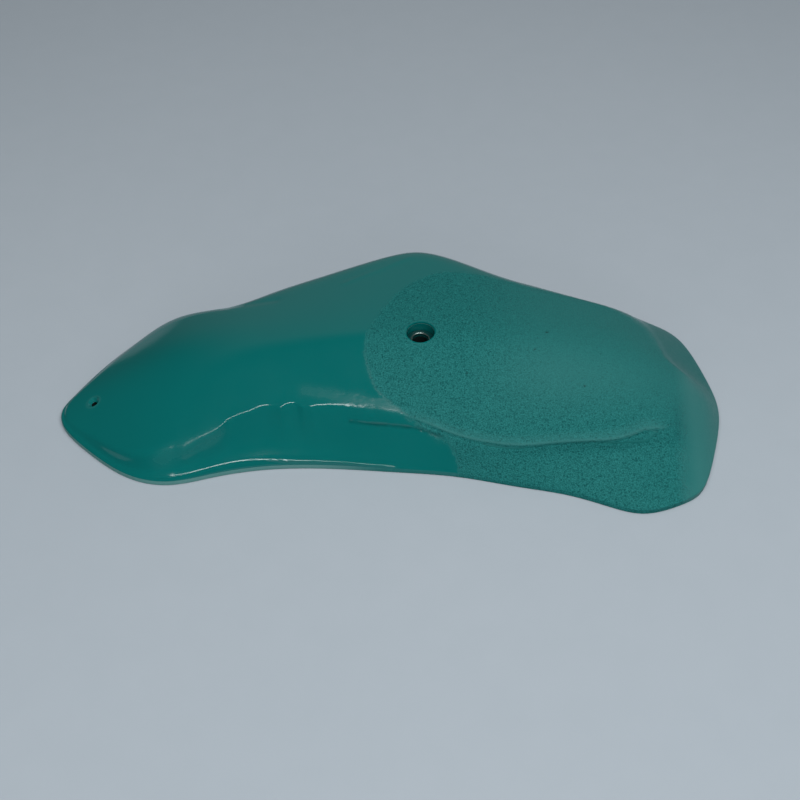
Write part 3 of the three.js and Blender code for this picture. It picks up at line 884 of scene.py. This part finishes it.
def marks(rings, places):
    """Outward move of each point, its painted shade, how scuffed it is, and its painted highlight and
    sheen.
    """
    steps = np.linalg.norm(np.diff(rings, axis=0), axis=2)
    length = np.concatenate([np.zeros((1, rings.shape[1])), np.cumsum(steps, axis=0)])
    x, y = rings[..., 0], rings[..., 1]
    lip, painted_highlight = lip_moves(rings[0], length, places)
    uneven = 1 + layered_noise(rings, CREASE_NOISE)
    crease = stroke(rings, FRONT_CREASE, CREASE_WIDTH) * uneven
    holes = sum(spot(rings, flat, width) for flat, width in PINHOLES)
    out = bead_moves(rings[0], length, places) + crest_moves(rings, places) + lip
    out = out + layered_noise(rings, SWELL_NOISE)
    out = out - CREASE_DEPTH * crease - PINHOLE_DEPTH * holes
    out = out + sum(move * stroke(rings, line, width) for line, width, move in FOLDS)
    out = out + sum(move * spot(rings, flat, width) for flat, width, move in DENTS)
    # Painted shade in the pinholes and along the crease
    painted_shade = np.clip(PINHOLE_SHADE * holes + CREASE_SHADE * crease, 0, 1)
    rubbed = sum(strength * stroke(rings, line, width) for line, width, strength in SCUFFS)
    scuff = np.clip(rubbed * (SCUFF_SHARE + layered_noise(rings, SCUFF_NOISE)), 0, 1)
    scuff = np.maximum(scuff, smoothstep(*END_SCUFF_SPAN, x))
    from_screw = np.linalg.norm(rings[..., :2] - (SET_SCREW_X, SET_SCREW_Y), axis=-1)
    # Painted sheen at the blunt end and a ring of painted highlight round the set screw
    at_end = END_SHEEN * smoothstep(*END_SHEEN_X, x) * smoothstep(*END_SHEEN_Y, y)
    round_screw = SCREW_RING_HIGHLIGHT * bell(from_screw - SCREW_RING_RADIUS, SCREW_RING_WIDTH)
    painted_highlight = np.maximum(np.maximum(painted_highlight, at_end), round_screw)
    return out, painted_shade, scuff, painted_highlight


def outer_grid():
    sections = Sections(sample_places())
    x, y = sections.foot.T
    sections.brow = sections.brow + np.where(y < 0, np.interp(x, *CREST_MOVES), 0)
    places = ring_places()
    rings = sections.rings(places)
    normals = grid_normals(rings)
    inside = inside_grip(rings[..., :2])
    near = inside > -GRIP_REACH
    depth, mask, coarse = (np.zeros(rings.shape[:2]) for _ in range(3))
    depth[near], mask[near], coarse[near] = grain(rings[near], inside[near])
    out, painted_shade, scuff, painted_highlight = marks(rings, places)
    fade = smoothstep(*FOOT_FADE, rings[..., 2])
    rings = rings + normals * ((out - depth) * fade)[..., None]
    front = rings[..., 1] < PLAIN_BACK
    # Where the edge is painted pale, on the land partly as a painted reflection of the floor
    pale_edge = 1 - front * smoothstep(PALE_EDGE_START, PALE_EDGE_END, rings[..., 0])
    scuff = scuff * (1 - mask)
    values = {"grip": mask, "coarse": coarse, "painted_shade": painted_shade, "scuff": scuff, "pale_edge": pale_edge, "painted_highlight": painted_highlight}
    return sections, rings, values


sections, grid, grid_values = outer_grid()


def outer_object(name):
    rings = [sections.at(sections.reach, 0), sections.at(0, 0), *grid]
    plain = (sections.foot[:, 0] > PALE_EDGE_END) & (sections.foot[:, 1] < PLAIN_BACK)

    def slot(ring, sample):
        return SLOT_EDGE if ring == 0 or (ring == 1 and not plain[sample]) else SLOT_SKIN

    return loft_object(name, rings, slot)


def inset_object(name, distance):
    """The outside on a coarser grid, moved in everywhere by the same distance."""
    coarse = Sections(np.arange(0, STATIONS, 1 / 6))
    rings = coarse.rings(np.arange(0, TOP_PLACE + 0.01, 1 / 3))
    rings = rings - grid_normals(rings) * distance
    rings = [coarse.at(coarse.reach, distance), coarse.at(distance, distance), *rings]
    return loft_object(name, rings, lambda ring, sample: SLOT_EDGE)


def prism_object(name, outline, bottom, top):
    """A closed upright solid over an outline in plan."""
    count = len(outline)
    rings = [np.column_stack([outline, np.full(count, z)]) + SHIFT for z in (bottom, top)]
    ahead = np.roll(outline, -1, 0)
    area = np.sum(outline[:, 0] * ahead[:, 1] - ahead[:, 0] * outline[:, 1])
    order = list(range(count)) if area > 0 else list(range(count))[::-1]
    faces = [order[::-1], [count + k for k in order]]
    for k, a in enumerate(order):
        b = order[(k + 1) % count]
        faces.append([a, b, count + b, count + a])
    points = np.concatenate(rings)
    return new_object(name, points, faces, HOLD_MATERIALS, [SLOT_EDGE] * len(faces))


def lathe_object(name, profile, segments, centre, slot_of_row, warp=None):
    """A closed solid of revolution about a vertical axis. The profile runs up the outside."""
    profile = np.array(profile, float)
    angles = 2 * np.pi * np.arange(segments) / segments
    points, faces, slots = [], [], []
    rows = []
    for radius, z in profile:
        if radius == 0:
            rows.append([len(points)] * segments)
            points.append((0, 0, z))
        else:
            rows.append(list(range(len(points), len(points) + segments)))
            points.extend(zip(radius * np.cos(angles), radius * np.sin(angles), np.full(segments, z)))
    for row, (low, high) in enumerate(zip(rows, rows[1:])):
        for k in range(segments):
            n = (k + 1) % segments
            face = without_repeats([low[k], low[n], high[n], high[k]])
            if len(face) > 2:
                faces.append(face)
                slots.append(slot_of_row(row))
    points = np.array(points)
    if warp is not None:
        points = warp(points)
    return new_object(name, points + np.array(centre) + SHIFT, faces, HOLD_MATERIALS, slots)


# Holes

seat_height = washer_high.z / MM
floor_height = seat_height - WASHER_THICKNESS
above = HEIGHT + 6
RIM_ROUND, RIM_STEPS = 1.5, 7
RIM_SINK, RIM_FLARE = 0.12, 0.2
TILT_START, TILT_END = 4, 1
SLOPE_REACH = 5.0


def height_at(x, y):
    return float(top_height(np.array([x]), np.array([y]))[0])


hole_top = height_at(bolt_x, bolt_y)
rise_x = height_at(bolt_x + SLOPE_REACH, bolt_y) - height_at(bolt_x - SLOPE_REACH, bolt_y)
rise_y = height_at(bolt_x, bolt_y + SLOPE_REACH) - height_at(bolt_x, bolt_y - SLOPE_REACH)
hole_slope_x, hole_slope_y = rise_x / (2 * SLOPE_REACH), rise_y / (2 * SLOPE_REACH)


def counterbore_cutter(name):
    """A cylinder whose mouth flares out along the top, so that the hole's rim is rounded."""
    profile = [(0, floor_height), (COUNTERBORE_RADIUS, floor_height)]
    for angle in np.linspace(0, np.pi / 2, RIM_STEPS):
        radius = COUNTERBORE_RADIUS + RIM_ROUND * (1 - math.cos(angle))
        profile.append((radius, hole_top - RIM_SINK - RIM_ROUND + RIM_ROUND * math.sin(angle)))
    profile += [(COUNTERBORE_RADIUS + RIM_ROUND + RIM_FLARE, above), (0, above)]

    def tilt(points):
        lean = smoothstep(hole_top - TILT_START, hole_top - TILT_END, points[:, 2])
        points[:, 2] += lean * (hole_slope_x * points[:, 0] + hole_slope_y * points[:, 1])
        return points

    return lathe_object(name, profile, 96, (bolt_x, bolt_y, 0), lambda row: SLOT_SKIN, tilt)


def bore_cutter(name):
    profile = [(0, -3), (BOLT_BORE_RADIUS, -3), (BOLT_BORE_RADIUS, above), (0, above)]
    return lathe_object(name, profile, 64, (bolt_x, bolt_y, 0), lambda row: SLOT_BORE)


def set_screw_cutter(name):
    """A tilted hole with a countersink, whose rim is rounded."""
    x, y = SET_SCREW_X, SET_SCREW_Y
    z = height_at(x, y)
    reach = z / math.cos(SET_SCREW_TILT) + 2 + SET_SCREW_RADIUS
    slope = (SET_SCREW_SINK_RADIUS - SET_SCREW_RADIUS) / SET_SCREW_SINK_DEPTH
    profile = [(0, -reach), (SET_SCREW_RADIUS, -reach), (SET_SCREW_RADIUS, -SET_SCREW_SINK_DEPTH)]
    profile += [(SET_SCREW_SINK_RADIUS - 0.35 * slope, -0.45)]
    profile += [(SET_SCREW_SINK_RADIUS, -0.15), (SET_SCREW_SINK_RADIUS + 0.5, -0.02)]
    profile += [(SET_SCREW_SINK_RADIUS + 1.0, 2), (0, 2)]
    cosine, sine = math.cos(SET_SCREW_TILT), math.sin(SET_SCREW_TILT)

    def tilt(points):
        across = points[:, 0] * cosine + points[:, 2] * sine
        up = -points[:, 0] * sine + points[:, 2] * cosine
        points[:, 0], points[:, 2] = across, up
        return points

    def slot(row):
        return SLOT_BORE if row < 2 else SLOT_SKIN

    return lathe_object(name, profile, 48, (x, y, z), slot, tilt)


# The hollow back


HOLLOW_ROOF_SHARES = (0.15, 0.3, 0.5, 0.75, 1)


def hollow_object(name):
    """The hollow of the back as one solid: it starts where the wall over it is thick enough."""
    s = Sections(np.arange(0, STATIONS, 1 / 8))
    start = np.maximum(RIM_WIDTH, s.waist + WALL / 2)
    for _ in range(2000):
        short = (s.height(start) - WALL < CELL_DEPTH_MIN) & (start < s.reach)
        start = np.where(short, start + 0.05, start)
    shoulder = np.maximum(start + CELL_LEAN_MIN, np.maximum(s.waist, s.brow) + WALL)
    top = np.minimum(shoulder, s.reach)
    rest = s.reach - top

    def roof_at(inset):
        return s.at(inset, s.height(inset) - WALL)

    corner = roof_at(top)
    mouth = s.at(start, 0)
    roofs = [roof_at(top + rest * share) for share in HOLLOW_ROOF_SHARES]
    controls = np.array([mouth, mouth * 0.5 + corner * 0.5, corner, *roofs])
    rings = spline(controls, np.arange(0, len(controls) - 1 + 0.01, 0.5), False)
    rings = [s.at(s.reach, -2), s.at(start, -2), *rings]
    return loft_object(name, rings, lambda ring, sample: SLOT_EDGE)


def rib(name, x):
    low, high = x - RIB_THICKNESS / 2, x + RIB_THICKNESS / 2
    outline = np.array([(low, -DEPTH), (high, -DEPTH), (high, DEPTH), (low, DEPTH)])
    return prism_object(name, outline, -4, above)


def column(name):
    profile = [(0, -4), (COLUMN_RADIUS, -4), (COLUMN_RADIUS, above), (0, above)]
    return lathe_object(name, profile, 96, (bolt_x, bolt_y, 0), lambda row: SLOT_EDGE)


def hollow_cells():
    cells = hollow_object("hollow")
    for i, share in enumerate(INNER_RIB_SHARES):
        combine(cells, rib(f"rib_{i}", share * LENGTH))
    return combine(cells, column("column"))


def shade(thing, sharp_degrees):
    """Smooth shading with sharp corners."""
    thing.data.shade_smooth()
    thing.data.set_sharp_from_angle(angle=math.radians(sharp_degrees))


def paint_values(thing):
    """Gives each point of the skin the values of the nearest grid point. The holes get none."""
    mesh = thing.data
    places = np.empty(len(mesh.vertices) * 3)
    mesh.vertices.foreach_get("co", places)
    places = places.reshape(-1, 3)
    found = np.array([tree.find(place)[1:] for place in places])
    index, near = found[:, 0].astype(int), found[:, 1]
    on_skin = (near < 1 * MM) | ((places[:, 2] < 0.1 * MM) & (near < 1.1 * LAND_HEIGHT * MM))
    flat = places[:, :2] / MM - SHIFT[:2] - (bolt_x, bolt_y)
    from_axis = np.hypot(*flat.T)
    on_skin &= from_axis > COUNTERBORE_RADIUS + 0.85 * RIM_ROUND
    for name, numbers in grid_values.items():
        layer = mesh.attributes.new(name, "FLOAT", "POINT")
        values = np.where(on_skin, numbers[index], name == "pale_edge")
        layer.data.foreach_set("value", values.astype(np.float32))


grid_points = (grid * FIT + SHIFT).reshape(-1, 3) * MM
tree = KDTree(len(grid_points))
for index, point in enumerate(grid_points):
    tree.insert(point, index)
tree.balance()
grid_values = {name: numbers.ravel() for name, numbers in grid_values.items()}

casting = outer_object("body_casting_skin")
recess = prism_object("recess", GRIP_OUTLINE, LAND_HEIGHT, above)
combine(recess, inset_object("inset", GRIP_THICKNESS + CLEARANCE))
combine(casting, recess)
combine(casting, hollow_cells())
combine(casting, bore_cutter("bore"))
combine(casting, counterbore_cutter("counterbore"))
combine(casting, set_screw_cutter("set_screw"))
shade(casting, 38)
paint_values(casting)

grip = outer_object("grip_layer_skin")
combine(grip, prism_object("zone", GRIP_OUTLINE, LAND_HEIGHT, above), "INTERSECT")
combine(grip, inset_object("inset", GRIP_THICKNESS))
combine(grip, counterbore_cutter("counterbore"))
shade(grip, 38)
paint_values(grip)


# Washer

WASHER_EDGE = 0.25
BARE_ROWS = (7, 8)


def washer_object(name):
    """A ring with broken edges, rounded off and rubbed bare at the top of its bore."""
    low, high, edge = floor_height, seat_height, WASHER_EDGE
    profile = [
        (BOLT_BORE_RADIUS + 0.05, low + edge),
        (BOLT_BORE_RADIUS + 0.05 + edge, low),
        (WASHER_RADIUS - edge, low),
        (WASHER_RADIUS, low + edge),
        (WASHER_RADIUS, high - edge),
        (WASHER_RADIUS - edge, high),
        (BOLT_BORE_RADIUS + 0.75, high),
        (BOLT_BORE_RADIUS + 0.55, high - 0.03),
        (BOLT_BORE_RADIUS + 0.25, high - 0.25),
        (BOLT_BORE_RADIUS + 0.05, high - 0.6),
    ]
    segments = 72
    angles = 2 * np.pi * np.arange(segments) / segments
    points, faces = [], []
    rows = len(profile)
    for radius, z in profile:
        x, y = radius * np.cos(angles) + bolt_x, radius * np.sin(angles) + bolt_y
        points.extend(zip(x, y, np.full(segments, z)))
    for row in range(rows):
        here, there = row * segments, (row + 1) % rows * segments
        for k in range(segments):
            n = (k + 1) % segments
            faces.append([here + k, here + n, there + n, there + k])
    thing = new_object(name, np.array(points) + SHIFT, faces, [steel_finish], [0] * len(faces))
    bare = np.repeat([float(row in BARE_ROWS) for row in range(rows)], segments)
    layer = thing.data.attributes.new("bare", "FLOAT", "POINT")
    layer.data.foreach_set("value", bare.astype(np.float32))
    return thing


washer = washer_object("bolt_washer_skin")
shade(washer, 25)

for piece, node, slot in (
    (casting, "body_casting", "smooth_green"),
    (grip, "grip_layer", "gritty_green"),
    (washer, "bolt_washer", "zinc_steel"),
):
    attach(piece, "root")
    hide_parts(node)


# Floor, light and camera


FLOOR_REACH, FLOOR_DROP = 5000, 0.3

corners = [(-1, -1), (1, -1), (1, 1), (-1, 1)]
corners = np.array([(x * FLOOR_REACH, y * FLOOR_REACH, -FLOOR_DROP) for x, y in corners])
floor = new_object("floor", corners, [(0, 1, 2, 3)], [floor_material("pale_paper")], [0])


def area_light(name, place, target, size_x, size_y, radiance, glossy=True):
    data = bpy.data.lights.new(name, "AREA")
    data.shape = "RECTANGLE"
    data.size, data.size_y = size_x, size_y
    data.energy = radiance * math.pi * size_x * size_y
    lamp = bpy.data.objects.new(name, data)
    bpy.context.scene.collection.objects.link(lamp)
    lamp.location = place
    lamp.rotation_mode = "QUATERNION"
    lamp.rotation_quaternion = (Vector(target) - Vector(place)).to_track_quat("-Z", "Y")
    lamp.visible_glossy = glossy
    lamp.visible_camera = False


def lamp_place(elevation, distance, x=0.0):
    """A place above the hold. The elevation is in degrees, from the back over to the front."""
    angle = math.radians(elevation)
    return (x, distance * math.cos(angle), distance * math.sin(angle))


area_light("key", lamp_place(119, 1.8, 0.36), (0, 0, 0.02), 1.7, 0.3, 12.2)
area_light("overhead", lamp_place(100, 1.6), (0, 0, 0), 1.7, 1.7, 1.75, glossy=False)
area_light("front", (0, -1.7, 0.6), (0, 0, 0), 2.0, 1.0, 1.4, glossy=False)


WALL_STRENGTH, GLOW_SHARE, ROOM_STRENGTH = 0.22, 0.4, 0.05
WORLD_COLOUR = (0.92, 0.97, 1.0)


def studio_world():
    """A dim room with a pale wall behind the hold and a fainter glow at its right."""
    world = bpy.data.worlds.new("world")
    bpy.context.scene.world = world
    world.use_nodes = True
    nodes = Nodes(world.node_tree)
    direction = nodes.add("ShaderNodeTexCoord").outputs["Generated"]
    split = nodes.add("ShaderNodeSeparateXYZ", {"Vector": direction})

    def ramp(axis, low, high, to_high=1.0):
        return nodes.map_range(split.outputs[axis], low, high, 0.0, to_high, "SMOOTHSTEP")

    wall = nodes.product(ramp("Z", 0.88, 0.70), ramp("Y", 0.1, 0.5), ramp("X", -0.55, -0.2))
    glow = nodes.product(ramp("X", 0.3, 0.8), ramp("Y", -0.1, 0.35), ramp("Z", 0.75, 0.35, GLOW_SHARE))
    strength = nodes.product(nodes.math("ADD", wall, glow), WALL_STRENGTH)
    background = world.node_tree.nodes["Background"]
    nodes.feed(WORLD_COLOUR, background.inputs["Color"])
    nodes.feed(nodes.math("ADD", strength, ROOM_STRENGTH), background.inputs["Strength"])


studio_world()

CAMERA_PITCH = math.radians(45.5)
CAMERA_DISTANCE = 0.85
# The place that it looks at, from the middle of the length and depth
VIEW_CENTRE = (7, -32, 20)
SENSOR_WIDTH, PICTURE_WIDTH, FOCAL_PIXELS = 36, 800, 1259

target = Vector((SHIFT + VIEW_CENTRE) * MM)
camera_data = bpy.data.cameras.new("camera")
camera_data.sensor_width = SENSOR_WIDTH
camera_data.lens = SENSOR_WIDTH * FOCAL_PIXELS / PICTURE_WIDTH
camera_data.clip_start, camera_data.clip_end = 0.05, 50
camera = bpy.data.objects.new("camera", camera_data)
bpy.context.scene.collection.objects.link(camera)
away = Vector((0, -math.cos(CAMERA_PITCH), math.sin(CAMERA_PITCH)))
camera.location = target + CAMERA_DISTANCE * away
camera.rotation_mode = "QUATERNION"
camera.rotation_quaternion = (-away).to_track_quat("-Z", "Y")
bpy.context.scene.camera = camera

bpy.context.scene.view_settings.view_transform = "Standard"
